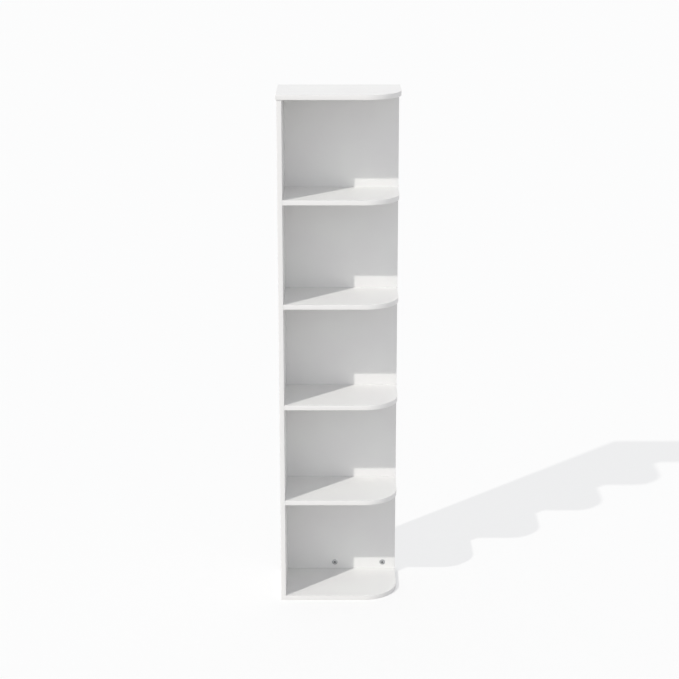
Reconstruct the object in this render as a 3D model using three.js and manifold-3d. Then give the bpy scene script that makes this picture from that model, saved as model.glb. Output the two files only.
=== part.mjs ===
// Corner shelf unit: five open compartments between a side panel on the left and a back panel,
// with every horizontal board rounded at its front right corner.
// Millimetres. +X is right, -Y is the front, +Z is up. The origin is on the floor, at the middle
// of the unit's box.

import * as THREE from "three";
import { mergeVertices } from "three/addons/utils/BufferGeometryUtils.js";
import Module from "manifold-3d";

const wasm = await Module();
wasm.setup();

// The carcass
const UNIT_WIDTH = 400; // side panel's outer face to the back panel's right edge
const UNIT_DEPTH = 250; // side panel's front edge to the back panel's rear face
const UNIT_HEIGHT = 1750;
const BOARD_THICKNESS = 16;
const CORNER_RADIUS = 115; // of the base and the shelves
const TOP_OVERHANG = 3; // of the top board, at its left, front and right
const SHELF_SETBACK = 0.8; // of the shelves' right edges from the back panel's
const SHELF_HEIGHT_SHARES = [0.201, 0.396, 0.5955, 0.7955]; // undersides, as shares of the unit's height

// Edging and joints
const BAND_THICKNESS = 1;
const GLUE_LINE = 0.2; // between a board and its edge band
const SEAT_GAP = 0.2; // between two boards that meet
const FIT_CLEARANCE = 0.3; // round each fastener in its hole
const FACE_SINK = 0.2; // of a flush head below the board's face
const OVERRUN = 2; // of each cut past the face that it opens

// Places of the fasteners along the joints
const FRONT_INSET = 50; // from the side panel's front edge
const REAR_INSET = 60; // from the back panel's front face
const LEFT_INSET = 40; // from the side panel's inner face
const RIGHT_INSET = 90; // from the back panel's right edge
const PANEL_JOINT_COMPARTMENTS = [0, 2, 4]; // where the side panel is screwed to the back panel

// Confirmat screw, 7 by 50, with a countersunk head
const SCREW_LENGTH = 50;
const SCREW_HEAD_DIAMETER = 10;
const SCREW_HEAD_RIM = 0.8;
const SCREW_SHOULDER_DIAMETER = 7;
const SCREW_SHOULDER_LENGTH = 11;
const SCREW_THREAD_HEIGHT = 0.8; // the thread is a plain bar, half of this in from the shoulder all round
const SCREW_TIP_DIAMETER = 3;
const SCREW_TIP_LENGTH = 5;
const SCREW_SOCKET_WIDTH = 4; // across the flats
const SCREW_SOCKET_DEPTH = 3;

// Cam fitting: a round cam in the panel's face pulls on the head of a bolt in the top board
const CAM_DIAMETER = 15;
const CAM_DISTANCE = 24; // of its axis below the panel's top edge
const CAM_BEHIND_BOLT = 4; // of its body, past the middle of the board
const CAM_ENTRY_ANGLE = (110 * Math.PI) / 180; // from the closed cam's bolt to the mouth that lets it in
const CAM_SLOT_LENGTH = 9; // of each arm of the driver's cross
const CAM_SLOT_WIDTH = 1.6;
const CAM_SLOT_DEPTH = 2;
const BOLT_THREAD_DIAMETER = 6;
const BOLT_THREAD_LENGTH = 11;
const BOLT_COLLAR_DIAMETER = 7.5;
const BOLT_COLLAR_LENGTH = 2;
const BOLT_SHANK_DIAMETER = 6;
const BOLT_NECK_DIAMETER = 3.6;
const BOLT_HEAD_DIAMETER = 6;
const BOLT_HEAD_LENGTH = 3;
const BOLT_END_MARGIN = 0.8; // from the bolt's end to the cam's axis

// Wooden dowels of the top board
const DOWEL_DIAMETER = 8;
const DOWEL_IN_PANEL = 20;
const DOWEL_IN_TOP = 10;
const DOWEL_CHAMFER = 1;

// Connector bolts low on the back panel, each in a sleeve nut from behind
const CONNECTOR_SPACING = 170;
const CONNECTOR_RIGHT_INSET = 45; // of the right one from the back panel's right edge
const CONNECTOR_ABOVE_BASE = 25;
const CONNECTOR_HEAD_DIAMETER = 20;
const CONNECTOR_HEAD_RIM = 1;
const CONNECTOR_HEAD_CROWN = 1.2; // of its domed face above the rim
const CONNECTOR_CROWN_DIAMETER = 13; // of the dome's flat middle
const CONNECTOR_SHANK_DIAMETER = 8;
const CONNECTOR_END_MARGIN = 4; // from its end to the back panel's rear face
const CONNECTOR_SOCKET_WIDTH = 5; // across the flats
const CONNECTOR_SOCKET_DEPTH = 4;
const NUT_DIAMETER = 11;
const NUT_FLANGE_DIAMETER = 18;
const NUT_FLANGE_THICKNESS = 1.5;
const NUT_MARGIN = 1.5; // from its open end to the back panel's front face
const NUT_SLOT_WIDTH = 2;
const NUT_SLOT_DEPTH = 1;

// How finely round things are divided
const CORNER_STEPS = 10;
const SMALL_FACETS = 10;
const HEX_SIDES = 6;
const HEAD_FACETS = 20;

// Levels and edges that follow from the sizes above
const left = -UNIT_WIDTH / 2;
const right = UNIT_WIDTH / 2;
const rear = (UNIT_DEPTH + TOP_OVERHANG) / 2;
const front = rear - UNIT_DEPTH;
const sideInner = left + BOARD_THICKNESS;
const sideMiddle = left + BOARD_THICKNESS / 2;
const backFront = rear - BOARD_THICKNESS;
const backMiddle = rear - BOARD_THICKNESS / 2;
const topUnderside = UNIT_HEIGHT - BOARD_THICKNESS;
const panelBottom = BOARD_THICKNESS + SEAT_GAP;
const panelTop = topUnderside - SEAT_GAP;
const shelfUndersides = SHELF_HEIGHT_SHARES.map((share) => share * UNIT_HEIGHT);
const bandAllowance = BAND_THICKNESS + GLUE_LINE;
const alongSide = [front + FRONT_INSET, backFront - REAR_INSET]; // Y of what joins the side panel
const alongBack = [sideInner + LEFT_INSET, right - RIGHT_INSET]; // X of what joins the back panel

const RIGHTWARD = new THREE.Vector3(1, 0, 0);
const FORWARD = new THREE.Vector3(0, -1, 0);
const REARWARD = new THREE.Vector3(0, 1, 0);
const UPWARD = new THREE.Vector3(0, 0, 1);

// What each kind of piece is made of
const MELAMINE = { color: 0xeeede9, roughness: 0.5, metalness: 0 }; // white face on chipboard
const EDGING = { color: 0xf3f2ef, roughness: 0.42, metalness: 0 }; // white plastic strip
const ZINC_PLATE = { color: 0xc3c7ca, roughness: 0.35, metalness: 1 };
const ZINC_CASTING = { color: 0xa9acae, roughness: 0.5, metalness: 1 };
const BEECH = { color: 0xcfab7c, roughness: 0.7, metalness: 0 };

// A closed geometry as a solid that can be cut.
function solidOf(geometry) {
  const bare = geometry.clone();
  bare.deleteAttribute("normal");
  bare.deleteAttribute("uv");
  const merged = mergeVertices(bare);
  const vertProperties = merged.getAttribute("position").array;
  const triVerts = new Uint32Array(merged.index.array);
  return new wasm.Manifold(new wasm.Mesh({ numProp: 3, vertProperties, triVerts }));
}

// A cut solid as a geometry with flat faces.
function geometryOf(solid) {
  const { numProp, vertProperties, triVerts } = solid.getMesh();
  const indexed = new THREE.BufferGeometry();
  indexed.setAttribute("position", new THREE.BufferAttribute(vertProperties, numProp));
  indexed.setIndex(new THREE.BufferAttribute(triVerts, 1));
  const flat = indexed.toNonIndexed();
  flat.computeVertexNormals();
  return flat;
}

// The first solid less all the others.
function cut(geometry, ...cutters) {
  const made = cutters.reduce((rest, cutter) => rest.subtract(solidOf(cutter)), solidOf(geometry));
  return geometryOf(made);
}

// A turned form about the Z axis. The profile holds [radius, z] pairs from low z to high.
function turned(profile, facets = SMALL_FACETS) {
  const points = profile.map(([radius, z]) => new THREE.Vector2(radius, z));
  return new THREE.LatheGeometry(points, facets).rotateX(Math.PI / 2);
}

function roundBar(radius, low, high, facets = SMALL_FACETS) {
  return turned([[0, low], [radius, low], [radius, high], [0, high]], facets);
}

function hexBar(acrossFlats, low, high) {
  return roundBar(acrossFlats / Math.sqrt(3), low, high, HEX_SIDES);
}

function block(lowX, highX, lowY, highY, lowZ, highZ) {
  const box = new THREE.BoxGeometry(highX - lowX, highY - lowY, highZ - lowZ);
  return box.translate((lowX + highX) / 2, (lowY + highY) / 2, (lowZ + highZ) / 2);
}

function plate(outline, low, high) {
  const settings = { depth: high - low, bevelEnabled: false, curveSegments: CORNER_STEPS };
  return new THREE.ExtrudeGeometry(outline, settings).translate(0, 0, low);
}

// A horizontal board's outline from above, rounded at the front right.
function boardOutline(edges, radius) {
  const outline = new THREE.Shape();
  outline.moveTo(edges.left, edges.rear);
  outline.lineTo(edges.left, edges.front);
  outline.absarc(edges.right - radius, edges.front + radius, radius, -Math.PI / 2, 0, false);
  outline.lineTo(edges.right, edges.rear);
  outline.closePath();
  return outline;
}

// The band that runs along the front edge, round the corner and back along the right edge.
function frontBandOutline(edges, radius) {
  const centreX = edges.right - radius;
  const centreY = edges.front + radius;
  const outline = new THREE.Shape();
  outline.moveTo(edges.left, edges.front);
  outline.absarc(centreX, centreY, radius, -Math.PI / 2, 0, false);
  outline.lineTo(edges.right, edges.rear);
  outline.lineTo(edges.right - BAND_THICKNESS, edges.rear);
  outline.absarc(centreX, centreY, radius - BAND_THICKNESS, 0, -Math.PI / 2, true);
  outline.lineTo(edges.left, edges.front + BAND_THICKNESS);
  outline.closePath();
  return outline;
}

// A ring's sector from one angle anticlockwise to another.
function sectorOutline(inner, outer, from, to) {
  const outline = new THREE.Shape();
  outline.absarc(0, 0, outer, from, to, false);
  outline.absarc(0, 0, inner, to, from, true);
  outline.closePath();
  return outline;
}

// Confirmat screw with its head's face at the origin, driven along +Z.
function confirmatScrew() {
  const head = SCREW_HEAD_DIAMETER / 2;
  const shoulder = SCREW_SHOULDER_DIAMETER / 2;
  const thread = (SCREW_SHOULDER_DIAMETER - SCREW_THREAD_HEIGHT) / 2;
  const body = turned([
    [0, 0],
    [head, 0],
    [head, SCREW_HEAD_RIM],
    [shoulder, SCREW_HEAD_RIM + head - shoulder],
    [shoulder, SCREW_SHOULDER_LENGTH],
    [thread, SCREW_SHOULDER_LENGTH],
    [thread, SCREW_LENGTH - SCREW_TIP_LENGTH],
    [SCREW_TIP_DIAMETER / 2, SCREW_LENGTH],
    [0, SCREW_LENGTH],
  ]);
  return cut(body, hexBar(SCREW_SOCKET_WIDTH, -OVERRUN, SCREW_SOCKET_DEPTH));
}

// Its hole: countersunk and wide through the first board, narrower in the edge of the second.
function screwHole() {
  const head = SCREW_HEAD_DIAMETER / 2 + FIT_CLEARANCE;
  const shoulder = SCREW_SHOULDER_DIAMETER / 2 + FIT_CLEARANCE;
  const thread = shoulder - SCREW_THREAD_HEIGHT / 2;
  const betweenBoards = BOARD_THICKNESS + SEAT_GAP / 2 - FACE_SINK;
  const step = Math.max(betweenBoards, SCREW_SHOULDER_LENGTH + FIT_CLEARANCE);
  const bottom = SCREW_LENGTH + FIT_CLEARANCE;
  return turned([
    [0, -OVERRUN],
    [head, -OVERRUN],
    [head, SCREW_HEAD_RIM],
    [shoulder, SCREW_HEAD_RIM + head - shoulder],
    [shoulder, step],
    [thread, step],
    [thread, bottom],
    [0, bottom],
  ]);
}

// The middle of a board's thickness, seen from a head that is sunk in its face.
const middleLevel = BOARD_THICKNESS / 2 - FACE_SINK;
const camDepth = middleLevel + CAM_BEHIND_BOLT;
const headReach = BOLT_END_MARGIN + BOLT_HEAD_LENGTH; // of the bolt's head, from the cam's axis
const chamberRadius = Math.hypot(headReach, BOLT_HEAD_DIAMETER / 2) + FIT_CLEARANCE;

// A bar across the board at its middle, from the cam's axis out past its rim along +Y.
function radialBar(radius) {
  const bar = roundBar(radius, 0, CAM_DIAMETER / 2 + OVERRUN);
  return bar.rotateX(-Math.PI / 2).translate(0, 0, middleLevel);
}

// Cam with its face at the origin, let in along +Z, closed on a bolt that comes from +Y.
// The bolt's head lies in a chamber that is open at the bottom. Its neck leaves through a slot round
// the wall, which starts at a mouth as wide as the head.
function cam() {
  const body = roundBar(CAM_DIAMETER / 2, 0, camDepth, HEAD_FACETS);
  const headRoom = BOLT_HEAD_DIAMETER / 2 + FIT_CLEARANCE;
  const neckRoom = BOLT_NECK_DIAMETER / 2 + FIT_CLEARANCE;
  const chamber = roundBar(chamberRadius, middleLevel - headRoom, camDepth + OVERRUN, HEAD_FACETS);
  const boltAngle = Math.PI / 2;
  const pastRim = CAM_DIAMETER / 2 + OVERRUN;
  const sector = sectorOutline(chamberRadius / 2, pastRim, boltAngle - CAM_ENTRY_ANGLE, boltAngle);
  const slot = plate(sector, middleLevel - neckRoom, middleLevel + neckRoom);
  const slotEnd = radialBar(neckRoom);
  const mouth = radialBar(headRoom).rotateZ(-CAM_ENTRY_ANGLE);
  const arm = CAM_SLOT_LENGTH / 2;
  const edge = CAM_SLOT_WIDTH / 2;
  const crossArm = block(-arm, arm, -edge, edge, -OVERRUN, CAM_SLOT_DEPTH);
  const otherArm = crossArm.clone().rotateZ(Math.PI / 2);
  return cut(body, chamber, slot, slotEnd, mouth, crossArm, otherArm);
}

function camHole() {
  return roundBar(CAM_DIAMETER / 2 + FIT_CLEARANCE, -OVERRUN, camDepth + FIT_CLEARANCE, HEAD_FACETS);
}

// The cam's bolt, with its collar's upper face at the origin and its thread along +Z.
function camBolt() {
  const end = BOLT_END_MARGIN - CAM_DISTANCE;
  const headTop = headReach - CAM_DISTANCE;
  const neckTop = CAM_DIAMETER / 2 + FIT_CLEARANCE - CAM_DISTANCE;
  return turned([
    [0, end],
    [BOLT_HEAD_DIAMETER / 2, end],
    [BOLT_HEAD_DIAMETER / 2, headTop],
    [BOLT_NECK_DIAMETER / 2, headTop],
    [BOLT_NECK_DIAMETER / 2, neckTop],
    [BOLT_SHANK_DIAMETER / 2, neckTop],
    [BOLT_SHANK_DIAMETER / 2, -BOLT_COLLAR_LENGTH],
    [BOLT_COLLAR_DIAMETER / 2, -BOLT_COLLAR_LENGTH],
    [BOLT_COLLAR_DIAMETER / 2, 0],
    [BOLT_THREAD_DIAMETER / 2, 0],
    [BOLT_THREAD_DIAMETER / 2, BOLT_THREAD_LENGTH],
    [0, BOLT_THREAD_LENGTH],
  ]);
}

// Its hole: from the cam up out of the panel's top edge, and narrower in the top board.
function camBoltHole() {
  const collar = BOLT_COLLAR_DIAMETER / 2 + FIT_CLEARANCE;
  const thread = BOLT_THREAD_DIAMETER / 2 + FIT_CLEARANCE;
  const top = BOLT_THREAD_LENGTH + FIT_CLEARANCE;
  return turned([
    [0, -CAM_DISTANCE],
    [collar, -CAM_DISTANCE],
    [collar, SEAT_GAP / 2],
    [thread, SEAT_GAP / 2],
    [thread, top],
    [0, top],
  ]);
}

// Wooden dowel with chamfered ends, standing in the panel's top edge at the origin.
function dowel() {
  const radius = DOWEL_DIAMETER / 2;
  return turned([
    [0, -DOWEL_IN_PANEL],
    [radius - DOWEL_CHAMFER, -DOWEL_IN_PANEL],
    [radius, DOWEL_CHAMFER - DOWEL_IN_PANEL],
    [radius, DOWEL_IN_TOP - DOWEL_CHAMFER],
    [radius - DOWEL_CHAMFER, DOWEL_IN_TOP],
    [0, DOWEL_IN_TOP],
  ]);
}

function dowelHole() {
  return roundBar(
    DOWEL_DIAMETER / 2 + FIT_CLEARANCE,
    -DOWEL_IN_PANEL - FIT_CLEARANCE,
    DOWEL_IN_TOP + FIT_CLEARANCE,
  );
}

const connectorShankLength = BOARD_THICKNESS - CONNECTOR_END_MARGIN;

// Connector bolt with a low domed head that seats at the origin, driven along +Z.
function connectorBolt() {
  const headRadius = CONNECTOR_HEAD_DIAMETER / 2;
  const shank = CONNECTOR_SHANK_DIAMETER / 2;
  const face = -SEAT_GAP - CONNECTOR_HEAD_RIM - CONNECTOR_HEAD_CROWN;
  const body = turned(
    [
      [0, face],
      [CONNECTOR_CROWN_DIAMETER / 2, face],
      [headRadius, -SEAT_GAP - CONNECTOR_HEAD_RIM],
      [headRadius, -SEAT_GAP],
      [shank, -SEAT_GAP],
      [shank, connectorShankLength],
      [0, connectorShankLength],
    ],
    HEAD_FACETS,
  );
  return cut(body, hexBar(CONNECTOR_SOCKET_WIDTH, face - OVERRUN, face + CONNECTOR_SOCKET_DEPTH));
}

// Its sleeve nut, with the flange's face at the origin, pushed in along +Z from behind.
function sleeveNut() {
  const flange = NUT_FLANGE_DIAMETER / 2;
  const mouth = BOARD_THICKNESS - FACE_SINK - NUT_MARGIN;
  const boreEnd = CONNECTOR_END_MARGIN - FACE_SINK - FIT_CLEARANCE;
  const body = turned(
    [
      [0, 0],
      [flange, 0],
      [flange, NUT_FLANGE_THICKNESS],
      [NUT_DIAMETER / 2, NUT_FLANGE_THICKNESS],
      [NUT_DIAMETER / 2, mouth],
      [0, mouth],
    ],
    HEAD_FACETS,
  );
  const boreRadius = CONNECTOR_SHANK_DIAMETER / 2 + FIT_CLEARANCE;
  const bore = roundBar(boreRadius, boreEnd, mouth + OVERRUN, HEAD_FACETS);
  const halfSlot = NUT_SLOT_WIDTH / 2;
  const reach = flange + OVERRUN;
  const slot = block(-reach, reach, -halfSlot, halfSlot, -OVERRUN, NUT_SLOT_DEPTH);
  return cut(body, bore, slot);
}

// The hole for both, recessed for the flange in the rear face.
function connectorHole() {
  const flange = NUT_FLANGE_DIAMETER / 2 + FIT_CLEARANCE;
  const sleeve = NUT_DIAMETER / 2 + FIT_CLEARANCE;
  const seat = NUT_FLANGE_THICKNESS + FIT_CLEARANCE;
  const end = BOARD_THICKNESS + OVERRUN;
  return turned(
    [
      [0, -OVERRUN],
      [flange, -OVERRUN],
      [flange, seat],
      [sleeve, seat],
      [sleeve, end],
      [0, end],
    ],
    HEAD_FACETS,
  );
}

const unit = new THREE.Group();
const carcass = new THREE.Group();
const hardware = new THREE.Group();
unit.add(carcass, hardware);
const boards = new Map(); // each board's solid by name, while holes are cut in it

function addPiece(group, name, geometry, finish) {
  const piece = new THREE.Mesh(geometry, new THREE.MeshStandardMaterial(finish));
  piece.name = name;
  group.add(piece);
  return piece;
}

// A horizontal board inside its edge bands, with its visible corner rounded.
function addBoard(name, edges, radius, underside, leftIsBanded) {
  const top = underside + BOARD_THICKNESS;
  const core = {
    left: leftIsBanded ? edges.left + bandAllowance : edges.left,
    right: edges.right - bandAllowance,
    front: edges.front + bandAllowance,
    rear: edges.rear,
  };
  boards.set(name, solidOf(plate(boardOutline(core, radius - bandAllowance), underside, top)));
  addPiece(carcass, name + "_front_band", plate(frontBandOutline(edges, radius), underside, top), EDGING);
  if (leftIsBanded) {
    const start = edges.front + bandAllowance;
    const strip = block(edges.left, edges.left + BAND_THICKNESS, start, edges.rear, underside, top);
    addPiece(carcass, name + "_left_band", strip, EDGING);
  }
}

function addBase() {
  addBoard("base_board", { left, right, front, rear }, CORNER_RADIUS, 0, true);
}

function addTop() {
  const edges = {
    left: left - TOP_OVERHANG,
    right: right + TOP_OVERHANG,
    front: front - TOP_OVERHANG,
    rear,
  };
  addBoard("top_board", edges, CORNER_RADIUS + TOP_OVERHANG, topUnderside, true);
}

function addShelves() {
  const edges = {
    left: sideInner + SEAT_GAP,
    right: right - SHELF_SETBACK,
    front,
    rear: backFront - SEAT_GAP,
  };
  shelfUndersides.forEach((underside, i) => {
    addBoard(`shelf_${i + 1}`, edges, CORNER_RADIUS, underside, false);
  });
}

function addSidePanel() {
  const start = front + bandAllowance;
  boards.set("side_panel", solidOf(block(left, sideInner, start, rear, panelBottom, panelTop)));
  const strip = block(left, sideInner, front, front + BAND_THICKNESS, panelBottom, panelTop);
  addPiece(carcass, "side_panel_band", strip, EDGING);
}

function addBackPanel() {
  const start = sideInner + SEAT_GAP;
  const end = right - bandAllowance;
  boards.set("back_panel", solidOf(block(start, end, backFront, rear, panelBottom, panelTop)));
  const strip = block(right - BAND_THICKNESS, right, backFront, rear, panelBottom, panelTop);
  addPiece(carcass, "back_panel_band", strip, EDGING);
}

// A piece of hardware whose own +Z points along its drive and whose +Y points up.
function addFitting(name, shape, finish, { x, y, z, along, up }) {
  const piece = addPiece(hardware, name, shape, finish);
  const across = new THREE.Vector3().crossVectors(up, along);
  piece.quaternion.setFromRotationMatrix(new THREE.Matrix4().makeBasis(across, up, along));
  piece.position.set(x, y, z);
  piece.updateMatrix();
  return piece;
}

// Cuts a fitting's hole, drawn in the fitting's own frame, in each board that it goes through.
function drill(fitting, hole, boardNames) {
  const drilled = solidOf(hole.clone().applyMatrix4(fitting.matrix));
  for (const name of boardNames) {
    boards.set(name, boards.get(name).subtract(drilled));
  }
}

// Where fittings start: in the three hidden faces, and on the panels' top edges.
const throughSide = { x: left + FACE_SINK, along: RIGHTWARD, up: UPWARD };
const throughBack = { y: rear - FACE_SINK, along: FORWARD, up: UPWARD };
const throughBase = { z: FACE_SINK, along: UPWARD, up: REARWARD };
const onPanelTop = { z: panelTop, along: UPWARD, up: REARWARD };

function addScrews() {
  const screw = confirmatScrew();
  const hole = screwHole();
  const drive = (name, place, joined) => drill(addFitting(name, screw, ZINC_PLATE, place), hole, joined);

  shelfUndersides.forEach((underside, i) => {
    const shelf = `shelf_${i + 1}`;
    const z = underside + BOARD_THICKNESS / 2;
    alongSide.forEach((y, n) => {
      drive(`${shelf}_side_screw_${n + 1}`, { ...throughSide, y, z }, ["side_panel", shelf]);
    });
    alongBack.forEach((x, n) => {
      drive(`${shelf}_back_screw_${n + 1}`, { ...throughBack, x, z }, ["back_panel", shelf]);
    });
  });

  const floors = [BOARD_THICKNESS, ...shelfUndersides.map((underside) => underside + BOARD_THICKNESS)];
  const ceilings = [...shelfUndersides, topUnderside];
  PANEL_JOINT_COMPARTMENTS.forEach((compartment, n) => {
    const z = (floors[compartment] + ceilings[compartment]) / 2;
    drive(`panel_joint_screw_${n + 1}`, { ...throughSide, y: backMiddle, z }, ["side_panel", "back_panel"]);
  });

  alongSide.forEach((y, n) => {
    drive(`base_side_screw_${n + 1}`, { ...throughBase, x: sideMiddle, y }, ["base_board", "side_panel"]);
  });
  alongBack.forEach((x, n) => {
    drive(`base_back_screw_${n + 1}`, { ...throughBase, x, y: backMiddle }, ["base_board", "back_panel"]);
  });
}

// A cam in the panel's hidden face, with its bolt from the top board.
function addTopCams() {
  const shapes = { cam: cam(), bolt: camBolt() };
  const holes = { cam: camHole(), bolt: camBoltHole() };
  const z = panelTop - CAM_DISTANCE;
  const fit = (n, panel, inFace, onEdge) => {
    const round = addFitting(`top_cam_${n}`, shapes.cam, ZINC_CASTING, inFace);
    drill(round, holes.cam, [panel]);
    const bolt = addFitting(`top_cam_bolt_${n}`, shapes.bolt, ZINC_PLATE, onEdge);
    drill(bolt, holes.bolt, [panel, "top_board"]);
  };
  let count = 0;
  for (const y of alongSide) {
    count += 1;
    fit(count, "side_panel", { ...throughSide, y, z }, { ...onPanelTop, x: sideMiddle, y });
  }
  for (const x of alongBack) {
    count += 1;
    fit(count, "back_panel", { ...throughBack, x, z }, { ...onPanelTop, x, y: backMiddle });
  }
}

// A dowel half way between the two cams of each panel.
function addTopDowels() {
  const shape = dowel();
  const hole = dowelHole();
  const between = ([low, high]) => (low + high) / 2;
  const places = {
    side: { ...onPanelTop, x: sideMiddle, y: between(alongSide) },
    back: { ...onPanelTop, x: between(alongBack), y: backMiddle },
  };
  for (const [panel, place] of Object.entries(places)) {
    const pin = addFitting(`top_dowel_${panel}`, shape, BEECH, place);
    drill(pin, hole, [`${panel}_panel`, "top_board"]);
  }
}

function addConnectors() {
  const shapes = { bolt: connectorBolt(), nut: sleeveNut() };
  const hole = connectorHole();
  const z = BOARD_THICKNESS + CONNECTOR_ABOVE_BASE;
  const rightX = right - CONNECTOR_RIGHT_INSET;
  const places = { left: rightX - CONNECTOR_SPACING, right: rightX };
  for (const [which, x] of Object.entries(places)) {
    const nut = addFitting(`connector_nut_${which}`, shapes.nut, ZINC_PLATE, { ...throughBack, x, z });
    drill(nut, hole, ["back_panel"]);
    const seat = { x, y: backFront, z, along: REARWARD, up: UPWARD };
    addFitting(`connector_bolt_${which}`, shapes.bolt, ZINC_PLATE, seat);
  }
}

addBase();
addTop();
addShelves();
addSidePanel();
addBackPanel();
addScrews();
addTopCams();
addTopDowels();
addConnectors();
for (const [name, solid] of boards) {
  addPiece(carcass, name, geometryOf(solid), MELAMINE);
}

export default unit;
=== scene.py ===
# Corner shelf unit: its boards, edge bands and fittings with their finishes, on a pale floor.
# Metres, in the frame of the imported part: +X is right, -Y is the front and +Z is up.

import math

import bmesh
import bpy
import numpy as np
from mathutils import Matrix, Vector
from mathutils.geometry import delaunay_2d_cdt


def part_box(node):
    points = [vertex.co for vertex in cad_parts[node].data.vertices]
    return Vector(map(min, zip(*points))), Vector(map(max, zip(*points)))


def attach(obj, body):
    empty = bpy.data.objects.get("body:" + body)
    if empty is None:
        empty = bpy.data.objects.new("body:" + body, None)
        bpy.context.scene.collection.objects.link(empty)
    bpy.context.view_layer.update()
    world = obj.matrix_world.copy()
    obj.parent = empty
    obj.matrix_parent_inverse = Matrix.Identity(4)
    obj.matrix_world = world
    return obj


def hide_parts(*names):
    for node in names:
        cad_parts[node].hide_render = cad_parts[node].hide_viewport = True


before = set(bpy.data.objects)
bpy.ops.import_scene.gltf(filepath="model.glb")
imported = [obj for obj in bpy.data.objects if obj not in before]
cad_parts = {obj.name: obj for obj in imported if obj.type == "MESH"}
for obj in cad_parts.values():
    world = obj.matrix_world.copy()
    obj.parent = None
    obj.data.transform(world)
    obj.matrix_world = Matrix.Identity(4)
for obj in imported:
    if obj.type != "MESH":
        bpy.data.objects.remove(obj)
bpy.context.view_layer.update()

MM = 0.001
RNG = np.random.default_rng(5585)

# Boards and bands
SHELVES = ["shelf_1", "shelf_2", "shelf_3", "shelf_4"]
SIDE_CAMS = ["top_cam_1", "top_cam_2"]  # in the side panel
BACK_CAMS = ["top_cam_3", "top_cam_4"]  # in the back panel
BOARD_THICKNESS = 16 * MM
CORNER_RADIUS = 115 * MM  # of the base and the shelves
TOP_OVERHANG = 3 * MM  # the top board's radius is that much larger
BAND_THICKNESS = 1 * MM
BAND_REACH = 0.15 * MM  # of a band into the solids' 0.2 mm behind it, so that a fine glue line is left
BAND_ARRIS = 0.8 * MM  # radius of the band's scraped outer edges
CORNER_STEPS = 72
ARRIS_STEPS = 5
BORE_STEPS = 40
SHARP_ANGLE = math.radians(35)  # faces that meet at more than this don't shade into each other
SAME_POINT = 1e-5  # in mm: points of an outline nearer than this are one
ROUNDING = 0.001 * MM  # how far short of a board's other face a bore may end and still go through

# Bores in the boards, as (radius, depth) in mm from the face that they open
SCREW_BORE = [(5.3, 0.0), (5.3, 1.0), (3.8, 2.5), (3.8, 16.0)]
CAM_BORE = [(7.8, 0.0), (7.8, 12.3)]
NUT_BORE = [(9.3, 0.0), (9.3, 2.0), (5.8, 2.0), (5.8, 16.0)]

# Turned fittings, as (radius, height) in mm from the end that goes in last
TURN_STEPS = 48
TURN_ANGLES = np.linspace(0, math.tau, TURN_STEPS, endpoint=False)
ROUND = np.ones(TURN_STEPS)  # an outline's radius at each angle, as a multiple of its smallest
HEXAGON = 1 / np.cos((TURN_ANGLES + math.pi / 6) % (math.pi / 3) - math.pi / 6)
THREAD_ROWS_PER_TURN = 8
THREAD_FLANK = 2.6  # how steep a thread's ridge is: its foot is 2/2.6 of the pitch wide
SCREW_SOCKET = [(2.0, 3.0), (2.0, 0.3)]  # of a hexagon, half its width across the flats
SCREW_HEAD = [(2.45, 0.0), (4.8, 0.0), (5.0, 0.15), (5.0, 0.8), (3.5, 2.3), (3.5, 11.0)]
SCREW_THREAD = {"start": 11.0, "end": 45.0, "core": 2.6, "crest": 3.5, "pitch": 3.0}
SCREW_TIP = [(2.4, 46.0), (1.5, 49.0), (0.9, 50.0)]
CONNECTOR_SOCKET = [(2.5, 4.0), (2.5, 0.25)]
CONNECTOR_HEAD = [(3.1, 0.0), (5.6, 0.0), (7.4, 0.25), (8.9, 0.75), (9.75, 1.35), (10.0, 1.75), (9.85, 2.2)]
CONNECTOR_SHANK = [(4.0, 2.2), (4.0, 3.2)]
CONNECTOR_THREAD = {"start": 3.2, "end": 13.4, "core": 3.5, "crest": 4.0, "pitch": 1.25}
CONNECTOR_TIP = [(3.2, 14.4)]
CAM_BOLT_END = [(2.7, 0.0), (3.0, 0.3), (3.0, 2.7), (2.7, 3.0), (1.8, 3.3), (1.8, 6.7), (3.0, 7.0)]
CAM_BOLT_COLLAR = [(3.0, 21.2), (3.75, 21.2), (3.75, 23.2), (3.0, 23.2)]
CAM_BOLT_THREAD = {"start": 23.2, "end": 33.2, "core": 2.2, "crest": 3.0, "pitch": 2.2}
CAM_BOLT_TIP = [(2.0, 34.2)]
DOWEL = [(3.0, 0.0), (4.0, 1.0), (4.0, 29.0), (3.0, 30.0)]
DOWEL_FLUTES = 16
DOWEL_FLUTE_DEPTH = 0.3

# Sleeve nuts, as (radius, depth) in mm from the face that the slot is in
NUT_SLOT_WIDTH = 2.0
NUT_RIM = [(8.7, 0.0), (8.91, 0.09), (9.0, 0.3)]  # the rings that the slot cuts
NUT_FLANGE = [(9.0, 1.0), (9.0, 1.5), (5.2, 1.5), (5.2, 3.0)]
NUT_BARBS = [(5.5, 3.0), (5.2, 5.0), (5.5, 5.0), (5.2, 7.0), (5.5, 7.0), (5.2, 9.0), (5.5, 9.0), (5.2, 11.0)]
NUT_MOUTH = [(5.2, 13.9), (4.9, 14.3), (4.3, 14.3), (4.3, 3.5)]
NUT_ARC_STEPS = 40  # on each side of the slot; even, so that the middle has a point, at the nut's full width
NUT_SLOT_STEPS = 4  # across each of the slot's ends; even too

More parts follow.
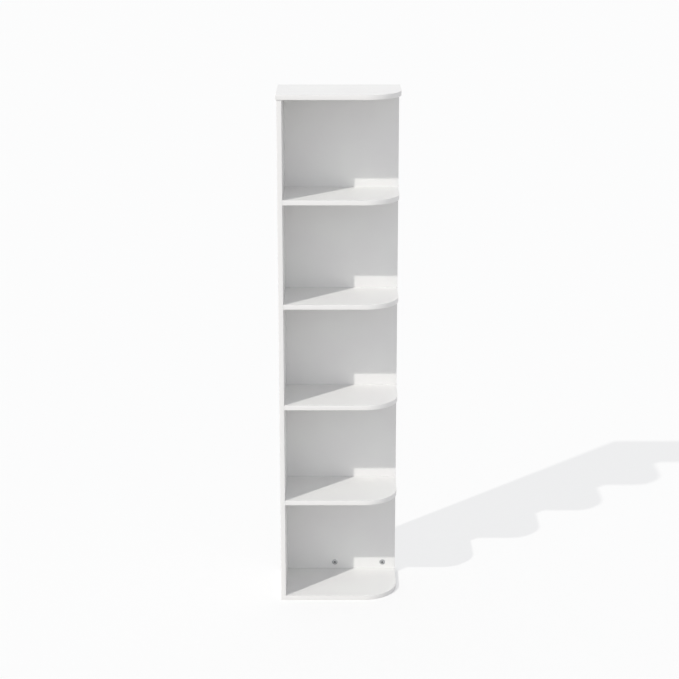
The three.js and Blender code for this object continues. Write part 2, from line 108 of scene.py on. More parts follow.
# Patterns of the finishes
PEARL_GRAIN = 2 * MM  # 0.8 mm on the real boards, which would be too fine to show
PAPER_CLOUDS = 160 * MM  # of the decor paper's almost even tone
SCRAPER_MARKS = 0.5 * MM
FLAKES = [5 * MM, 2 * MM]  # how long the chipboard's flakes are, in the middle and near its faces
FLAKE_FLATNESS = 3.0  # how many times thinner than long they are, less one
FINE_LAYER = {"From Min": 0.27, "From Max": 0.34}  # where the finer ones start, in thicknesses from the middle
FLAKE_RIM = {"From Min": 0.45, "From Max": 0.8, "To Max": 0.4}  # how a flake darkens towards the gap round it
TOOL_RINGS = 0.3 * MM
PLATING_CLOUDS = 3 * MM
PLATING_SPECKS = 0.8 * MM
CASTING_PITS = 0.6 * MM
CASTING_CLOUDS = 4 * MM
BEECH_RAYS = 0.6 * MM
BEECH_RAY_STRETCH = (1.0, 1.0, 0.12)  # along the dowel, the rays' width over their length
NOISE_RANGE = {"From Min": 0.35, "From Max": 0.65}  # where most values of a noise lie

# Camera, fitted to the edges in the photograph with no shift
CAMERA_PLACE = (0.0016, -5.51, 2.495)
CAMERA_PITCH = math.radians(16.1)
FOCAL_PIXELS = 1692
FRAME_PIXELS = 679
SENSOR_WIDTH = 36

# Light and floor
KEY_TRAVEL = (1.013, 1.0, -1.255)  # the way the key light travels, from the shadows on the shelves
KEY_STRENGTH = 1.96
KEY_COLOUR = "#fffdf9"
KEY_ANGLE = math.radians(0.7)
FILL_COLOUR = "#f8faff"
SIDE_FILL = 0.82  # soft light from the side, all the way round
OVERHEAD_FILL = 0.5
OVERHEAD_STARTS = 0.55  # sine of the angle above the floor at which the side light starts to fade
OVERHEAD_ALONE = 0.85  # and at which it is gone
BACKDROP_COLOUR = "#ffffff"
BACKDROP_STRENGTH = 0.972
FLOOR_RADIUS = 60.0
FLOOR_RINGS = 24
FLOOR_MIDDLE = 1 * MM  # radius of its innermost ring
FLOOR_PAINT = "#f9f9f8"  # as the camera sees it
FLOOR_BOUNCE = "#cac9c8"  # as it lights the unit
FLOOR_PLAIN_SHARE = 0.7  # of the floor's look that its shadows don't change
FLOOR_CONTACT_SHARE = 0.3  # the same, right beside the unit, where its shadow shows most
FLOOR_CONTACT = 40 * MM  # how far from the unit its nearness still counts
OPENNESS = {"From Min": 0.6, "From Max": 1.0}  # how open the floor is right beside the unit, and away from it
OPENNESS_RAYS = 4


def linear(code):
    """A colour from its sRGB hex code: a channel c becomes c/12.92 when dark, or else ((c + 0.055)/1.055)^2.4."""
    channels = [int(code[i : i + 2], 16) / 255 for i in (1, 3, 5)]
    return [c / 12.92 if c <= 0.04045 else ((c + 0.055) / 1.055) ** 2.4 for c in channels] + [1.0]


def add(tree, kind, inputs=None, output=0, stops=(), **settings):
    """Adds a node with its settings and links, and gives the output that is asked for. Each input is a value or
    the output that feeds it. The stops are a colour ramp's, as (place, hex code)."""
    node = tree.nodes.new(kind)
    for name, value in settings.items():
        setattr(node, name, value)
    for socket, value in (inputs or {}).items():
        if isinstance(value, bpy.types.NodeSocket):
            tree.links.new(value, node.inputs[socket])
        else:
            node.inputs[socket].default_value = value
    for n, (place, code) in enumerate(stops):
        elements = node.color_ramp.elements
        element = elements[n] if n < len(elements) else elements.new(1.0)
        element.position = place
        element.color = linear(code)
    return node.outputs[output] if node.outputs else node


def empty_tree(owner):
    """The node tree of a material or the world, with nothing in it yet."""
    owner.use_nodes = True
    owner.node_tree.nodes.clear()
    return owner.node_tree


def finish_of(name, look, **uniform):
    """A Principled material. look adds the nodes that vary over the surface and gives them by socket."""
    material = bpy.data.materials.new(name)
    tree = empty_tree(material)
    place = add(tree, "ShaderNodeTexCoord", output="Object")
    shader = add(tree, "ShaderNodeBsdfPrincipled", {**uniform, **look(tree, place)})
    add(tree, "ShaderNodeOutputMaterial", {"Surface": shader})
    return material


def melamine_look(tree, place):
    """Decor paper in melamine resin, pressed on the board against a steel sheet with a pearl grain: matt white,
    almost one tone, with a soft broken sheen. The grain is 0.8 mm; it is drawn at 2 mm so that it shows."""
    grain_settings = {"Vector": place, "Scale": 1 / PEARL_GRAIN, "Detail": 3.0, "Roughness": 0.6}
    grain = add(tree, "ShaderNodeTexNoise", grain_settings)
    clouds = add(tree, "ShaderNodeTexNoise", {"Vector": place, "Scale": 1 / PAPER_CLOUDS, "Detail": 2.0})
    paper = [(0.35, "#e9e8e7"), (0.65, "#ebebe9")]
    return {
        "Base Color": add(tree, "ShaderNodeValToRGB", {"Fac": clouds}, stops=paper),
        "Roughness": add(tree, "ShaderNodeMapRange", {"Value": grain, **NOISE_RANGE, "To Min": 0.36, "To Max": 0.56}),
        "Normal": add(tree, "ShaderNodeBump", {"Height": grain, "Distance": 0.35 * MM, "Strength": 0.8}),
    }


def edging_look(tree, place):
    """Extruded ABS strip, smoother than the board's faces. Its outer edges were scraped round after gluing, which
    leaves them a little paler and duller, with fine marks."""
    scraped = add(tree, "ShaderNodeAttribute", output="Fac", attribute_name="scraped")
    grain_settings = {"Vector": place, "Scale": 1 / PEARL_GRAIN, "Detail": 3.0, "Roughness": 0.6}
    grain = add(tree, "ShaderNodeTexNoise", grain_settings)
    marks = add(tree, "ShaderNodeTexNoise", {"Vector": place, "Scale": 1 / SCRAPER_MARKS, "Detail": 1.0})
    sheen = add(tree, "ShaderNodeMapRange", {"Value": grain, **NOISE_RANGE, "To Min": 0.36, "To Max": 0.44})
    height = add(tree, "ShaderNodeMath", {0: marks, 1: scraped, 2: grain}, operation="MULTIPLY_ADD")
    plastic = [(0.0, "#eeedeb"), (1.0, "#f0efed")]
    return {
        "Base Color": add(tree, "ShaderNodeValToRGB", {"Fac": scraped}, stops=plastic),
        "Roughness": add(tree, "ShaderNodeMath", {0: scraped, 1: 0.14, 2: sheen}, operation="MULTIPLY_ADD"),
        "Normal": add(tree, "ShaderNodeBump", {"Height": height, "Distance": 0.15 * MM, "Strength": 0.8}),
    }


def chipboard_look(tree, place):
    """Sawn edge of chipboard: wood flakes pressed flat along the board, 5 mm long in the middle and finer near
    both faces, straw to brown with dark gaps between them, and rough from the saw."""
    through = add(tree, "ShaderNodeAttribute", output="Vector", attribute_name="through")
    stretch = (FLAKE_FLATNESS * BOARD_THICKNESS,) * 3  # of the place along the thickness, which thins the flakes
    pressed = add(tree, "ShaderNodeVectorMath", {0: through, 1: stretch, 2: place}, operation="MULTIPLY_ADD")
    level = add(tree, "ShaderNodeVectorMath", {0: through}, "Value", operation="LENGTH")
    offset = add(tree, "ShaderNodeMath", {0: level, 1: 0.5}, operation="SUBTRACT")
    from_middle = add(tree, "ShaderNodeMath", {0: offset}, operation="ABSOLUTE")
    fine_layer = add(tree, "ShaderNodeMapRange", {"Value": from_middle, **FINE_LAYER})
    shades = []
    gaps = []
    for length in FLAKES:
        flakes = {"Vector": pressed, "Scale": 1 / length, "Randomness": 1.0}
        gaps.append(add(tree, "ShaderNodeTexVoronoi", flakes, "Distance"))
        colours = add(tree, "ShaderNodeTexVoronoi", flakes, "Color")
        shades.append(add(tree, "ShaderNodeSeparateColor", {"Color": colours}, "Red"))
    shade = add(tree, "ShaderNodeMix", {"Factor": fine_layer, "A": shades[0], "B": shades[1]}, data_type="FLOAT")
    gap = add(tree, "ShaderNodeMix", {"Factor": fine_layer, "A": gaps[0], "B": gaps[1]}, data_type="FLOAT")
    shadow = add(tree, "ShaderNodeMapRange", {"Value": gap, **FLAKE_RIM})
    tone = add(tree, "ShaderNodeMath", {0: shade, 1: shadow}, operation="SUBTRACT")
    wood = [(0.0, "#8a6d4c"), (0.2, "#bda079"), (0.55, "#d2b991"), (0.9, "#e4d3b0")]
    return {
        "Base Color": add(tree, "ShaderNodeValToRGB", {"Fac": tone}, stops=wood),
        "Roughness": add(tree, "ShaderNodeMapRange", {"Value": shade, "To Min": 0.75, "To Max": 0.9}),
        "Normal": add(tree, "ShaderNodeBump", {"Height": gap, "Distance": 0.5 * MM, "Strength": 0.6}),
    }


def zinc_plate_look(tree, place):
    """Steel turned on a lathe, then plated with zinc and passivated: greyish white metal with slight clouds and
    fine rings of the tool, 0.3 mm apart. The socket's walls are painted near black and made duller, as painted
    shade for the deep, narrow recess."""
    from_axis = add(tree, "ShaderNodeAttribute", output="Fac", attribute_name="from_axis")
    # marks the socket, whose walls get painted shade in the colour below
    socket_painted_shade = add(tree, "ShaderNodeAttribute", output="Fac", attribute_name="socket_painted_shade")
    turns = add(tree, "ShaderNodeMath", {0: from_axis, 1: math.tau / TOOL_RINGS}, operation="MULTIPLY")
    rings = add(tree, "ShaderNodeMath", {0: turns}, operation="SINE")
    clouds = add(tree, "ShaderNodeTexNoise", {"Vector": place, "Scale": 1 / PLATING_CLOUDS, "Detail": 3.0})
    outside = add(tree, "ShaderNodeMath", {0: 1.0, 1: socket_painted_shade}, operation="SUBTRACT")
    clouds_and_socket_shade = add(tree, "ShaderNodeMath", {0: clouds, 1: outside}, operation="MULTIPLY")
    specks = add(tree, "ShaderNodeTexNoise", {"Vector": place, "Scale": 1 / PLATING_SPECKS, "Detail": 2.0})
    sheen = add(tree, "ShaderNodeMapRange", {"Value": specks, **NOISE_RANGE, "To Min": 0.26, "To Max": 0.42})
    # the first stop, near black, is painted shade for the socket's walls
    metal = [(0.0, "#232324"), (0.3, "#a9abad"), (0.7, "#bfc0c2")]
    return {
        "Base Color": add(tree, "ShaderNodeValToRGB", {"Fac": clouds_and_socket_shade}, stops=metal),
        "Roughness": add(tree, "ShaderNodeMath", {0: socket_painted_shade, 1: 0.3, 2: sheen}, operation="MULTIPLY_ADD"),
        "Normal": add(tree, "ShaderNodeBump", {"Height": rings, "Distance": 0.01 * MM, "Strength": 0.4}),
    }


def zinc_casting_look(tree, place):
    """Zinc alloy cast in a die and tumbled: duller and greyer than the plated steel, with small pits."""
    pits = add(tree, "ShaderNodeTexNoise", {"Vector": place, "Scale": 1 / CASTING_PITS, "Detail": 2.0})
    clouds = add(tree, "ShaderNodeTexNoise", {"Vector": place, "Scale": 1 / CASTING_CLOUDS, "Detail": 2.0})
    metal = [(0.3, "#96989a"), (0.7, "#a9abac")]
    return {
        "Base Color": add(tree, "ShaderNodeValToRGB", {"Fac": clouds}, stops=metal),
        "Roughness": add(tree, "ShaderNodeMapRange", {"Value": pits, **NOISE_RANGE, "To Min": 0.45, "To Max": 0.6}),
        "Normal": add(tree, "ShaderNodeBump", {"Height": pits, "Distance": 0.06 * MM, "Strength": 0.5}),
    }


def beech_look(tree, place):
    """Turned beech: pale pinkish tan with short darker rays along the grain, which runs along the dowel."""
    along_grain = add(tree, "ShaderNodeMapping", {"Vector": place, "Scale": BEECH_RAY_STRETCH})
    rays = add(tree, "ShaderNodeTexNoise", {"Vector": along_grain, "Scale": 1 / BEECH_RAYS, "Detail": 3.0})
    wood = [(0.3, "#b98f62"), (0.5, "#d3ad80"), (0.75, "#e0c097")]
    return {
        "Base Color": add(tree, "ShaderNodeValToRGB", {"Fac": rays}, stops=wood),
        "Roughness": add(tree, "ShaderNodeMapRange", {"Value": rays, **NOISE_RANGE, "To Min": 0.55, "To Max": 0.7}),
        "Normal": add(tree, "ShaderNodeBump", {"Height": rays, "Distance": 0.05 * MM, "Strength": 0.5}),
    }


melamine = finish_of("melamine_pressed_pearl_grain", melamine_look, IOR=1.5)
edging = finish_of("abs_edging_scraped_arris", edging_look, IOR=1.52)
chipboard = finish_of("chipboard_sawn_edge", chipboard_look, IOR=1.45)
zinc_plate = finish_of("steel_turned_zinc_plated", zinc_plate_look, Metallic=1.0)
zinc_casting = finish_of("zinc_die_cast_tumbled", zinc_casting_look, Metallic=1.0)
beech = finish_of("beech_turned_dowel", beech_look, IOR=1.45)


def corners(node):
    """A node's lowest and highest corners as arrays."""
    return [np.array(corner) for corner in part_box(node)]


def put_in_scene(name, vertices, faces, materials, material_index=None, attributes=None):
    """A mesh object with its faces turned outwards, smooth but for its sharp edges. The attributes are given by
    name, with a number or a vector for each vertex."""
    mesh = bpy.data.meshes.new(name)
    mesh.from_pydata(np.asarray(vertices).tolist(), [], [list(map(int, face)) for face in faces])
    for material in materials:
        mesh.materials.append(material)
    if material_index is not None:
        mesh.polygons.foreach_set("material_index", np.asarray(material_index, np.int32))
    for attribute, values in (attributes or {}).items():
        values = np.asarray(values, np.float32)
        kind, field = ("FLOAT", "value") if values.ndim == 1 else ("FLOAT_VECTOR", "vector")
        layer = mesh.attributes.new(attribute, kind, "POINT")
        layer.data.foreach_set(field, values.ravel())
    shape = bmesh.new()
    shape.from_mesh(mesh)
    bmesh.ops.recalc_face_normals(shape, faces=shape.faces)
    shape.to_mesh(mesh)
    shape.free()
    mesh.polygons.foreach_set("use_smooth", np.ones(len(mesh.polygons), bool))
    mesh.set_sharp_from_angle(angle=SHARP_ANGLE)
    made = bpy.data.objects.new(name, mesh)
    bpy.context.scene.collection.objects.link(made)
    return made


def stand_for(piece, node):
    """The piece takes a node's place in the unit: it rides on the root body, and the node is hidden."""
    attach(piece, "root")
    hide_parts(node)


def grid_faces(rows, columns, first=0, closed=True):
    """Quads between neighbours of a grid of vertices, row by row. A closed grid's last column meets its first."""
    row, column = np.meshgrid(np.arange(rows - 1), np.arange(columns if closed else columns - 1), indexing="ij")
    after = (column + 1) % columns
    quads = [row * columns + column, row * columns + after, (row + 1) * columns + after, (row + 1) * columns + column]
    return first + np.stack(quads, -1).reshape(-1, 4)


def corner_path(low, high, radius):
    """The line from above along the front, round the front right corner and back along the right edge, with its
    outward normals. On the arc, at the angle a from straight ahead, the point is the centre plus the radius
    times (sin a, -cos a), and (sin a, -cos a) is the normal."""
    angle = np.linspace(0, math.pi / 2, CORNER_STEPS + 1)
    normal = np.stack([np.sin(angle), -np.cos(angle)], -1)
    centre = np.array([high[0] - radius, low[1] + radius])
    points = np.vstack([[low[0], low[1]], centre + radius * normal, [high[0], high[1]]])
    return points, np.vstack([normal[0], normal, normal[-1]])


def filled(loops):
    """Triangles that close the first loop of points round the others, numbered through all the loops. Each inner
    loop is convex, so a triangle with all its corners on one of them lies in a bore and is left out."""
    edges = []
    loop_of = np.repeat(np.arange(len(loops)), [len(loop) for loop in loops])
    for loop in range(len(loops)):
        numbers = np.flatnonzero(loop_of == loop)
        edges += list(zip(numbers.tolist(), np.roll(numbers, -1).tolist()))
    points = (np.vstack(loops) / MM).tolist()
    inside_only = 1
    _, _, faces, sources, _, _ = delaunay_2d_cdt(points, edges, [], inside_only, SAME_POINT, True)
    triangles = np.array([[sources[i][0] for i in face] for face in faces])
    loops_met = loop_of[triangles]
    in_bore = (loops_met[:, 0] > 0) & (loops_met == loops_met[:, :1]).all(1)
    return triangles[~in_bore]


def make_board(node, outline, axes, drilled_face, other_face, bores=()):
    """A board: its outline lies in the first two of the axes and is carried through the thickness along the
    third. Each bore is a profile of (radius, depth) turned about its centre, from the drilled face inwards; one
    that goes right through opens the other face too. The attribute through points along the thickness, and its
    length runs from 0 to 1 through the board."""
    thickness = abs(other_face - drilled_face)
    inwards = math.copysign(1, other_face - drilled_face)
    angle = np.linspace(0, math.tau, BORE_STEPS, endpoint=False)
    circle = np.stack([np.cos(angle), np.sin(angle)], -1)
    rings = [(outline, 0.0), (outline, thickness)]
    walls = [grid_faces(2, len(outline))]
    near = [(outline, 0)]
    far = [(outline, len(outline))]
    poles = []
    first = 2 * len(outline)
    for centre, profile in bores:
        for radius, depth in profile:
            rings.append((centre + radius * MM * circle, min(depth * MM, thickness)))
        walls.append(grid_faces(len(profile), BORE_STEPS, first))
        near.append((rings[-len(profile)][0], first))
        last = first + (len(profile) - 1) * BORE_STEPS
        if profile[-1][1] * MM >= thickness - ROUNDING:
            far.append((rings[-1][0], last))
        else:
            poles.append((centre, profile[-1][1] * MM, last))
        first = last + BORE_STEPS
    flat = np.vstack([points for points, _ in rings] + [[centre] for centre, _, _ in poles])
    depths = np.concatenate([np.full(len(points), depth) for points, depth in rings] + [[d for _, d, _ in poles]])
    vertices = np.empty((len(flat), 3))
    vertices[:, axes[0]] = flat[:, 0]
    vertices[:, axes[1]] = flat[:, 1]
    vertices[:, axes[2]] = drilled_face + inwards * depths
    through = np.zeros_like(vertices)
    through[:, axes[2]] = inwards * depths / thickness
    caps = []
    for side in (near, far):
        numbers = np.concatenate([start + np.arange(len(points)) for points, start in side])
        caps += [numbers[face] for face in filled([points for points, _ in side])]
    wall_faces = [face for wall in walls for face in wall]
    for n, (_, _, last) in enumerate(poles):
        wall_faces += [(last + i, last + (i + 1) % BORE_STEPS, first + n) for i in range(BORE_STEPS)]
    name = node.replace("board", "faced_board") if "board" in node else node + "_faced"
    index = [0] * len(caps) + [1] * len(wall_faces)  # melamine, and then the bare chipboard of edges and bores
    made = put_in_scene(name, vertices, caps + wall_faces, [melamine, chipboard], index, {"through": through})
    stand_for(made, node)


def make_band(node, path, outward, across, width):
    """An edge band: its section carried along a path. The section's point (o, a) lies at the path's point plus o
    times the outward normal plus a times the direction across. Its outer edges are quarter circles: with the arris
    radius r, o = r (cos t - 1) and a = r (1 - sin t) or width - r (1 - sin t)."""
    inner = -(BAND_THICKNESS + BAND_REACH)
    t = np.linspace(math.pi / 2, 0, ARRIS_STEPS + 1)
    o = BAND_ARRIS * (np.cos(t) - 1)
    a = BAND_ARRIS * (1 - np.sin(t))
    near_arris = np.stack([o, a], -1)
    far_arris = np.stack([o, width - a], -1)[::-1]
    section = np.vstack([[inner, 0.0], near_arris, far_arris, [inner, width]])
    scraped = np.concatenate([[0.0], np.ones(ARRIS_STEPS), [0.0, 0.0], np.ones(ARRIS_STEPS), [0.0]])
    points = (
        path[:, None, :]
        + outward[:, None, :] * section[None, :, :1]
        + np.asarray(across, float)[None, None, :] * section[None, :, 1:]
    )
    rows, columns = points.shape[:2]
    faces = list(grid_faces(rows, columns)) + [range(columns), range((rows - 1) * columns, rows * columns)]
    attributes = {"scraped": np.tile(scraped, rows)}
    made = put_in_scene(node + "_strip", points.reshape(-1, 3), faces, [edging], attributes=attributes)
    stand_for(made, node)


def make_rounded_board(name, radius, bores=()):
    """A horizontal board with its band along the front, round the corner and along the right edge."""
    board_low, board_high = corners(name)
    low, high = corners(name + "_front_band")
    inset = high[0] - board_high[0]
    points, _ = corner_path(board_low, board_high, radius - inset)
    outline = np.vstack([points, [board_low[0], board_high[1]]])
    make_board(name, outline, (0, 1, 2), low[2], high[2], bores)
    line, normals = corner_path(low, high, radius)
    path = np.column_stack([line, np.full(len(line), low[2])])
    outward = np.column_stack([normals, np.zeros(len(line))])
    make_band(name + "_front_band", path, outward, (0, 0, 1), high[2] - low[2])


def straight_path(start, end, outward):
    """A line between two points, with the same outward normal at both."""
    return np.array([start, end], float), np.array([outward, outward], float)


def make_left_band(name):
    """A band along a board's left edge, from the front band, which it nearly meets, to the rear edge."""
    low, high = corners(name)
    start = (low[0], low[1] - BAND_REACH, low[2])
    path, outward = straight_path(start, (low[0], high[1], low[2]), (-1, 0, 0))
    make_band(name, path, outward, (0, 0, 1), high[2] - low[2])


def make_panel_bands():
    """The bands from the bottom to the top of the side panel's front edge and the back panel's right edge."""
    low, high = corners("side_panel_band")
    path, outward = straight_path(low, (low[0], low[1], high[2]), (0, -1, 0))
    make_band("side_panel_band", path, outward, (1, 0, 0), high[0] - low[0])
    low, high = corners("back_panel_band")
    path, outward = straight_path((high[0], low[1], low[2]), (high[0], low[1], high[2]), (1, 0, 0))
    make_band("back_panel_band", path, outward, (0, 1, 0), high[1] - low[1])


def bores_at(nodes, axes, profile):
    """The bores of some fittings: each one's centre in the first two of the axes, with the profile."""
    centres = [sum(corners(node)) / 2 for node in nodes]
    return [(centre[list(axes[:2])], profile) for centre in centres]


def rectangle(low, high, axes):
    """The outline of a box in the first two of the axes, from its lowest corner round."""
    u, v = axes[:2]
    return np.array([(low[u], low[v]), (high[u], low[v]), (high[u], high[v]), (low[u], high[v])])


def nodes_with(*parts):
    """The names of the nodes that hold any of the parts, in order."""
    return [name for name in sorted(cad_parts) if any(part in name for part in parts)]


def make_panels():
    """The two upright panels, each drilled from its hidden outer face."""
    side_axes = (1, 2, 0)
    low, high = corners("side_panel")
    screws = [node for node in nodes_with("_side_screw_", "panel_joint_screw_") if not node.startswith("base")]
    side_bores = bores_at(screws, side_axes, SCREW_BORE)
    side_bores += bores_at(SIDE_CAMS, side_axes, CAM_BORE)
    make_board("side_panel", rectangle(low, high, side_axes), side_axes, low[0], high[0], side_bores)

    back_axes = (0, 2, 1)
    low, high = corners("back_panel")
    screws = [node for node in nodes_with("_back_screw_") if not node.startswith("base")]
    back_bores = bores_at(screws, back_axes, SCREW_BORE)
    back_bores += bores_at(BACK_CAMS, back_axes, CAM_BORE)
    back_bores += bores_at(nodes_with("connector_nut_"), back_axes, NUT_BORE)
    make_board("back_panel", rectangle(low, high, back_axes), back_axes, high[1], low[1], back_bores)


def turned_rows(profile, outline=ROUND):
    """Rows of (radius, height) that go all the way round: the radius times the outline's share at each angle. A
    hexagon's share at the angle a from the nearest flat's middle is 1 / cos a."""
    radii = np.array([radius for radius, _ in profile])[:, None] * outline[None, :]
    heights = np.repeat([[height] for _, height in profile], TURN_STEPS, axis=1)
    return np.stack([radii, heights], -1)


def thread_rows(start, end, core, crest, pitch):
    """Rows of a screw thread. At height h and angle a the radius is the core's, plus the thread's depth times a
    ridge that peaks where h/pitch - a/turn is a whole number; it fades out over half a turn at both ends."""
    count = int(round((end - start) / pitch * THREAD_ROWS_PER_TURN)) + 1
    height = np.linspace(start, end, count)[:, None]
    phase = (height / pitch - TURN_ANGLES[None, :] / math.tau) % 1.0
    ridge = np.clip(1 - THREAD_FLANK * np.minimum(phase, 1 - phase), 0, 1)
    fade = np.clip(np.minimum(height - start, end - height) / (pitch / 2), 0, 1)
    radii = core + (crest - core) * ridge * fade
    return np.stack([radii, np.repeat(height, TURN_STEPS, axis=1)], -1)


def fluted_rows(profile, flutes, depth):
    """Rows of a grooved dowel: at the angle a, the radius less depth times the square of cos(flutes a / 2)."""
    rows = turned_rows(profile)
    rows[:, :, 0] -= depth * np.cos(flutes * TURN_ANGLES / 2) ** 2
    return rows


def make_turned(node, rows, drive, material, socket_rows=0):
    """A turned fitting. Its rows hold the radius r and the height h for each angle a, and the point is
    r cos a across, r sin a upwards and h along the drive, from the end of the node's box where the drive
    starts. A pole on the axis closes each end. Each fitting is turned by its own angle, as it was driven. The
    first rows may be its socket's, which an attribute marks so that the finish paints shade into them."""
    low, high = corners(node)
    along = np.array(drive, float)
    up = np.array((0, 1, 0) if drive[2] else (0, 0, 1), float)
    across = np.cross(up, along)
    origin = np.where(along > 0, low, np.where(along < 0, high, (low + high) / 2))
    turn = TURN_ANGLES + RNG.uniform(0, math.tau)
    radii = rows[:, :, 0] * MM
    heights = rows[:, :, 1] * MM
    ring = np.stack([radii * np.cos(turn), radii * np.sin(turn), heights], -1).reshape(-1, 3)
    poles = np.array([[0, 0, heights[0, 0]], [0, 0, heights[-1, 0]]])
    local = np.vstack([ring, poles])
    vertices = origin + local @ np.array([across, up, along])
    count = len(rows)
    faces = list(grid_faces(count, TURN_STEPS))
    for pole, start in ((len(ring), 0), (len(ring) + 1, (count - 1) * TURN_STEPS)):
        faces += [(start + i, start + (i + 1) % TURN_STEPS, pole) for i in range(TURN_STEPS)]
    # the socket's rows, which the finish paints dark as painted shade
    socket_painted_shade = np.concatenate([np.repeat(np.arange(count) < socket_rows, TURN_STEPS), [socket_rows > 0, False]])
    attributes = {"from_axis": np.hypot(local[:, 0], local[:, 1]), "socket_painted_shade": socket_painted_shade}
    made = put_in_scene(node + "_turned", vertices, faces, [material], attributes=attributes)
    stand_for(made, node)


def make_sleeve_nut(node):
    """A slotted sleeve nut. A ring of radius r at the depth d holds the points (r cos a, r sin a, d). The slot cuts
    the rim's rings where r sin a is half its width h, which leaves two arcs, from asin(h/r) to pi - asin(h/r) and
    half a turn on. Below its floor a ring has the slot's ends too and goes all the way round."""
    low, high = corners(node)
    body = NUT_FLANGE + NUT_BARBS + NUT_MOUTH
    cut = len(NUT_RIM)
    rings = []
    for n, (radius, depth) in enumerate(NUT_RIM + body):
        edge = math.asin(NUT_SLOT_WIDTH / 2 / (radius if n < cut else body[0][0]))
        half_turn = np.linspace(edge, math.pi - edge, NUT_ARC_STEPS + 1)
        if n >= cut:
            slot_end = np.linspace(math.pi - edge, math.pi + edge, NUT_SLOT_STEPS + 1)[1:-1]
            half_turn = np.concatenate([half_turn, slot_end])
        turn = np.concatenate([half_turn, half_turn + math.pi])
        rings.append(np.stack([radius * np.cos(turn), radius * np.sin(turn), np.full(len(turn), depth)], -1))
    local = np.vstack(rings + [[[0.0, 0.0, body[-1][1]]]]) * MM
    origin = np.array([(low[0] + high[0]) / 2, high[1], (low[2] + high[2]) / 2])
    vertices = origin + local @ np.array([(1, 0, 0), (0, 0, 1), (0, -1, 0)], float)

    starts = np.cumsum([0] + [len(ring) for ring in rings])
    half_length = np.array([len(ring) // 2 for ring in rings[: cut + 1]])
    first_arc = starts[: cut + 1, None] + np.arange(NUT_ARC_STEPS + 1)
    faces = []
    for arc in (first_arc, first_arc + half_length[:, None]):
        rim = np.stack([arc[:-1, :-1], arc[:-1, 1:], arc[1:, 1:], arc[1:, :-1]], -1)
        face_beside_slot = arc[0]
        slot_wall = np.concatenate([arc[:, 0], arc[::-1, -1]])
        faces += list(rim.reshape(-1, 4)) + [face_beside_slot, slot_wall]
    round_length = 2 * half_length[-1]
    step_in_half = np.arange(round_length) % half_length[-1]
    beside_slot_floor = (step_in_half == 0) | (step_in_half >= NUT_ARC_STEPS)
    faces.append(starts[cut] + np.flatnonzero(beside_slot_floor))
    faces += list(grid_faces(len(body), round_length, starts[cut]))
    last, pole = starts[-2], starts[-1]
    faces += [(last + i, last + (i + 1) % round_length, pole) for i in range(round_length)]
    attributes = {"from_axis": np.hypot(local[:, 0], local[:, 1])}
    made = put_in_scene(node + "_barbed", vertices, faces, [zinc_plate], attributes=attributes)
    stand_for(made, node)


def make_fittings():
    """The screws, the connector bolts and their nuts, the cam bolts and the dowels."""
    screw = np.concatenate(
        [
            turned_rows(SCREW_SOCKET, HEXAGON),
            turned_rows(SCREW_HEAD),
            thread_rows(**SCREW_THREAD),
            turned_rows(SCREW_TIP),
        ]
    )
    drives = {"_side_screw_": (1, 0, 0), "panel_joint_screw_": (1, 0, 0), "_back_screw_": (0, -1, 0)}
    for part, drive in drives.items():
        for node in nodes_with(part):
            from_below = node.startswith("base")
            along = (0, 0, 1) if from_below else drive
            make_turned(node, screw, along, zinc_plate, len(SCREW_SOCKET))

    connector = np.concatenate(
        [
            turned_rows(CONNECTOR_SOCKET, HEXAGON),
            turned_rows(CONNECTOR_HEAD),
            turned_rows(CONNECTOR_SHANK),
            thread_rows(**CONNECTOR_THREAD),
            turned_rows(CONNECTOR_TIP),
        ]
    )
    for node in nodes_with("connector_bolt_"):
        make_turned(node, connector, (0, 1, 0), zinc_plate, len(CONNECTOR_SOCKET))
    for node in nodes_with("connector_nut_"):
        make_sleeve_nut(node)

    cam_bolt = np.concatenate(
        [
            turned_rows(CAM_BOLT_END),
            turned_rows(CAM_BOLT_COLLAR),
            thread_rows(**CAM_BOLT_THREAD),
            turned_rows(CAM_BOLT_TIP),
        ]
    )
    for node in nodes_with("top_cam_bolt_"):
        make_turned(node, cam_bolt, (0, 0, 1), zinc_plate)

    dowel = fluted_rows(DOWEL, DOWEL_FLUTES, DOWEL_FLUTE_DEPTH)
    for node in nodes_with("top_dowel_"):
        make_turned(node, dowel, (0, 0, 1), beech)


def refinish(nodes, material):
    """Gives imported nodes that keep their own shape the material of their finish."""
    for name in nodes:
        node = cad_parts[name]
        node.data.materials.clear()
        node.data.materials.append(material)


make_rounded_board("base_board", CORNER_RADIUS, bores_at(nodes_with("base_side", "base_back"), (0, 1), SCREW_BORE))
make_rounded_board("top_board", CORNER_RADIUS + TOP_OVERHANG)
for shelf in SHELVES:
    make_rounded_board(shelf, CORNER_RADIUS)
make_left_band("base_board_left_band")
make_left_band("top_board_left_band")
make_panels()
make_panel_bands()
make_fittings()
refinish(SIDE_CAMS + BACK_CAMS, zinc_casting)


def seen_or_lit(tree, seen, lit):
    """A surface that looks one way to the camera and in reflections, and lights the scene another way."""
    looked_at = add(tree, "ShaderNodeLightPath", output="Is Camera Ray")
    for other in ("Is Glossy Ray", "Is Transmission Ray"):
        ray = add(tree, "ShaderNodeLightPath", output=other)
        looked_at = add(tree, "ShaderNodeMath", {0: looked_at, 1: ray}, operation="MAXIMUM")
    return add(tree, "ShaderNodeMixShader", {0: looked_at, 1: lit, 2: seen})


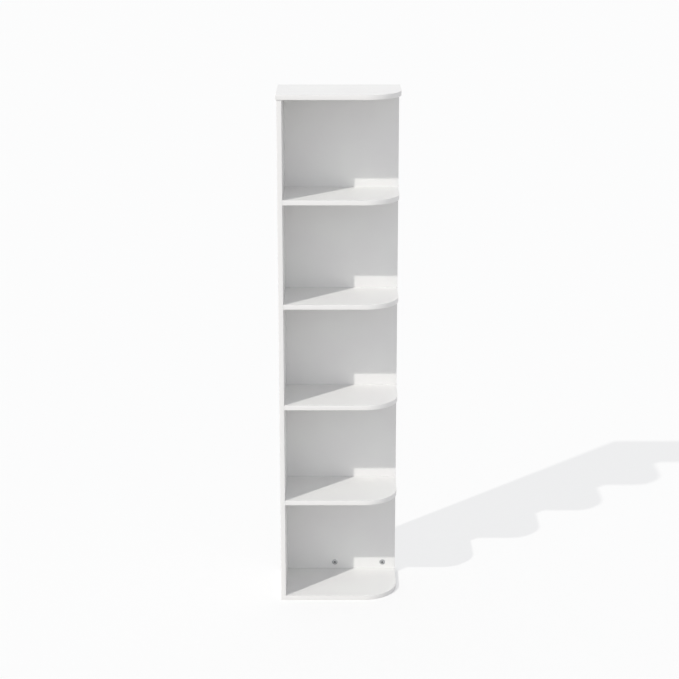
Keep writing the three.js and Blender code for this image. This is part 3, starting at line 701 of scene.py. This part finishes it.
def make_floor():
    """A flat pale disc: round rings of points whose radii grow as the square of their number. To the camera most
    of its brightness is the plain backdrop's, and the rest takes the light and the shadows, more of it close to
    the unit. It lights the unit as a pale grey floor does."""
    material = bpy.data.materials.new("studio_floor_matt_white_paint")
    tree = empty_tree(material)
    paint = add(tree, "ShaderNodeBsdfDiffuse", {"Color": linear(FLOOR_PAINT)})
    bounce = add(tree, "ShaderNodeBsdfDiffuse", {"Color": linear(FLOOR_BOUNCE)})
    plain = add(tree, "ShaderNodeEmission", {"Color": linear(BACKDROP_COLOUR), "Strength": BACKDROP_STRENGTH})
    openness = add(tree, "ShaderNodeAmbientOcclusion", {"Distance": FLOOR_CONTACT}, "AO", samples=OPENNESS_RAYS)
    shares = {**OPENNESS, "To Min": FLOOR_CONTACT_SHARE, "To Max": FLOOR_PLAIN_SHARE}
    share = add(tree, "ShaderNodeMapRange", {"Value": openness, **shares})
    seen = add(tree, "ShaderNodeMixShader", {0: share, 1: paint, 2: plain})
    add(tree, "ShaderNodeOutputMaterial", {"Surface": seen_or_lit(tree, seen, bounce)})
    radii = FLOOR_RADIUS * np.linspace(0, 1, FLOOR_RINGS) ** 2 + FLOOR_MIDDLE
    x, y = radii[:, None] * np.cos(TURN_ANGLES), radii[:, None] * np.sin(TURN_ANGLES)
    vertices = np.stack([x, y, np.zeros_like(x)], -1).reshape(-1, 3)
    faces = list(grid_faces(FLOOR_RINGS, TURN_STEPS)) + [range(TURN_STEPS)]
    floor = put_in_scene("studio_floor", vertices, faces, [material])


def make_light():
    """One far key lamp, and a soft white surrounding light that is weaker overhead than from the side."""
    key = bpy.data.lights.new("key_light", "SUN")
    key.energy = KEY_STRENGTH
    key.color = linear(KEY_COLOUR)[:3]
    key.angle = KEY_ANGLE
    lamp = bpy.data.objects.new("key_light", key)
    lamp.rotation_euler = Vector(KEY_TRAVEL).to_track_quat("-Z", "Y").to_euler()
    bpy.context.scene.collection.objects.link(lamp)

    world = bpy.data.worlds.new("studio_surroundings")
    bpy.context.scene.world = world
    tree = empty_tree(world)
    way = add(tree, "ShaderNodeTexCoord", output="Generated")
    height = add(tree, "ShaderNodeSeparateXYZ", {"Vector": way}, "Z")
    fade = {"From Min": OVERHEAD_STARTS, "From Max": OVERHEAD_ALONE, "To Min": SIDE_FILL, "To Max": OVERHEAD_FILL}
    strength = add(tree, "ShaderNodeMapRange", {"Value": height, **fade})
    fill = add(tree, "ShaderNodeBackground", {"Color": linear(FILL_COLOUR), "Strength": strength})
    seen = add(tree, "ShaderNodeBackground", {"Color": linear(BACKDROP_COLOUR), "Strength": BACKDROP_STRENGTH})
    add(tree, "ShaderNodeOutputWorld", {"Surface": seen_or_lit(tree, seen, fill)})


def make_camera():
    """The camera at the photograph's viewing angle, tilted down and turned to neither side."""
    data = bpy.data.cameras.new("camera")
    data.sensor_width = SENSOR_WIDTH
    data.lens = FOCAL_PIXELS * SENSOR_WIDTH / FRAME_PIXELS
    data.clip_end = 2 * FLOOR_RADIUS
    camera = bpy.data.objects.new("camera", data)
    camera.location = CAMERA_PLACE
    camera.rotation_euler = (math.pi / 2 - CAMERA_PITCH, 0, 0)
    bpy.context.scene.collection.objects.link(camera)
    bpy.context.scene.camera = camera


make_floor()
make_light()
make_camera()
bpy.context.scene.view_settings.view_transform = "Standard"
